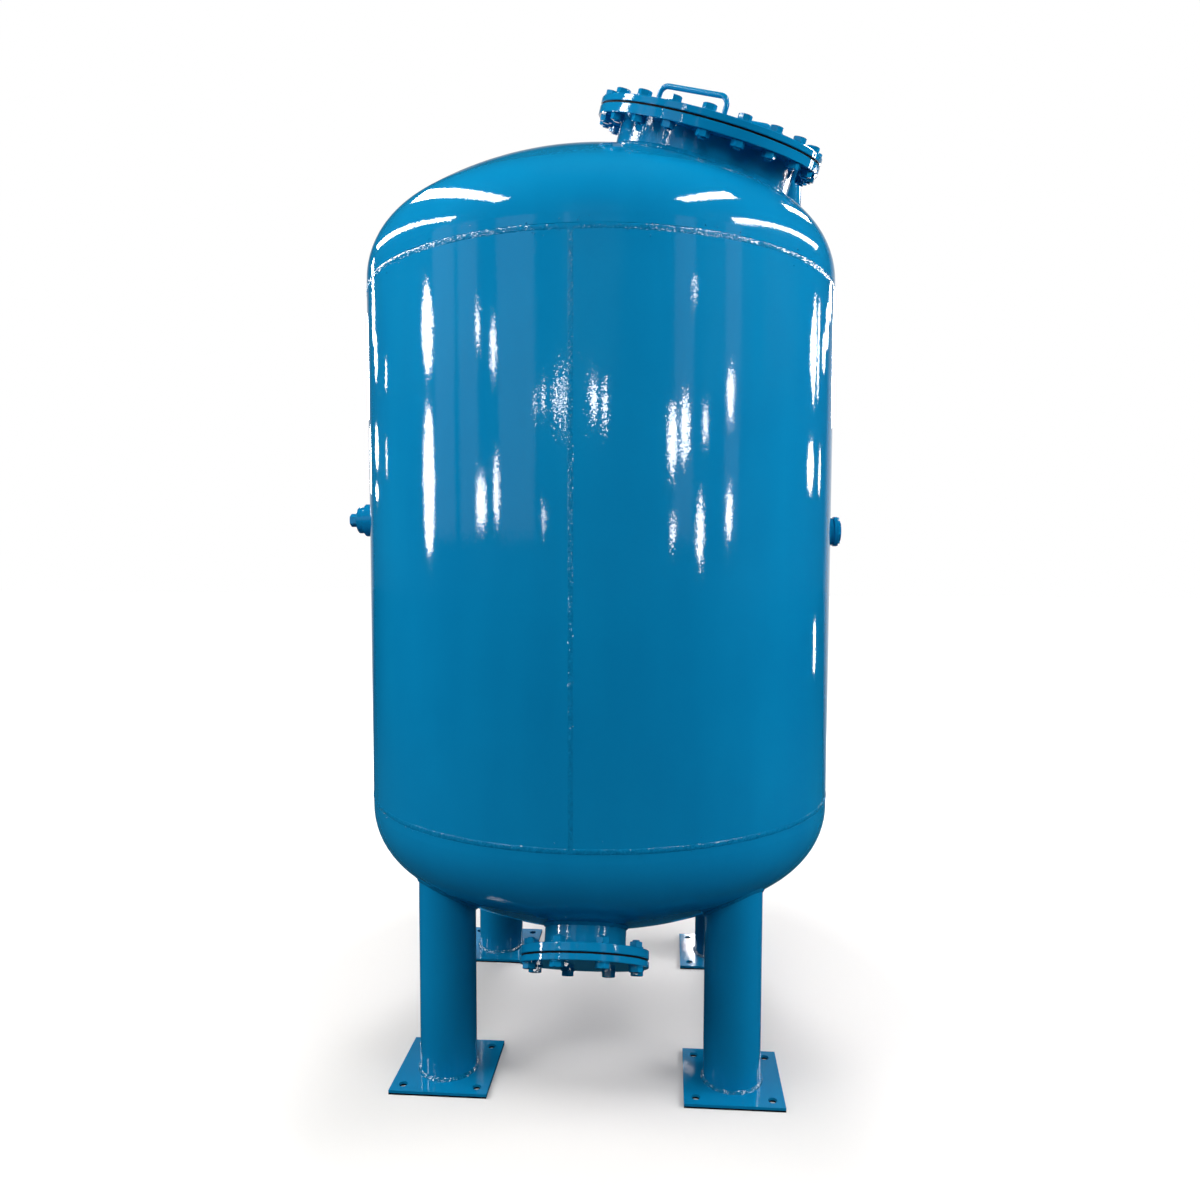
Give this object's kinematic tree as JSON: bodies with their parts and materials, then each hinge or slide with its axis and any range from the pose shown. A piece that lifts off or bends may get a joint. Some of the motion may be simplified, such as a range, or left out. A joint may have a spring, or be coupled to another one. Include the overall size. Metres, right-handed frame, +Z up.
{
  "type": "water filter tank",
  "caption": "Vertical welded steel filter vessel on pipe legs, with dished heads, a bolted manway in the top, a blanked nozzle below and plugged side ports.",
  "frame": {"origin": "on the floor, on the vessel's axis, at the centre of the anchor holes", "axes": "+Z up along the vessel's axis, -Y to the front (bottom nozzle side), +X to the right (manway side)"},
  "size_m": [1.559, 1.424, 2.7823],
  "materials": {
    "vessel_paint": "gloss blue enamel with fine orange peel",
    "weld_paint": "gloss blue enamel over rippled weld beads",
    "fitting_paint": "gloss blue enamel on machined flanges",
    "leg_paint": "gloss blue enamel on pipe and plate",
    "gasket_rubber": "matt black sheet rubber"
  },
  "bodies": {
    "root": {"shell": "vessel_paint", "top_head": "vessel_paint", "bottom_head": "vessel_paint", "upper_girth_weld": "weld_paint", "lower_girth_weld": "weld_paint", "shell_seam_weld": "weld_paint", "manway_neck_weld": "weld_paint", "nozzle_neck_weld": "weld_paint", "post_weld": "weld_paint", "manway_neck": "fitting_paint", "manway_flange": "fitting_paint", "manway_cover": "fitting_paint", "nozzle_neck": "fitting_paint", "nozzle_flange": "fitting_paint", "nozzle_cover": "fitting_paint", "front_cover_handle": "fitting_paint", "rear_cover_handle": "fitting_paint", "post": "fitting_paint", "post_cap": "fitting_paint", "left_port_boss": "fitting_paint", "left_port_cap": "fitting_paint", "left_port_plug": "fitting_paint", "right_port_boss": "fitting_paint", "right_port_cap": "fitting_paint", "right_port_plug": "fitting_paint", "manway_gasket": "gasket_rubber", "nozzle_gasket": "gasket_rubber", "front_left_leg": "leg_paint", "front_left_base_plate": "leg_paint", "front_left_foot_weld": "weld_paint", "front_left_head_weld": "weld_paint", "front_right_leg": "leg_paint", "front_right_base_plate": "leg_paint", "front_right_foot_weld": "weld_paint", "front_right_head_weld": "weld_paint", "rear_left_leg": "leg_paint", "rear_left_base_plate": "leg_paint", "rear_left_foot_weld": "weld_paint", "rear_left_head_weld": "weld_paint", "rear_right_leg": "leg_paint", "rear_right_base_plate": "leg_paint", "rear_right_foot_weld": "weld_paint", "rear_right_head_weld": "weld_paint"}
  },
  "joints": []
}
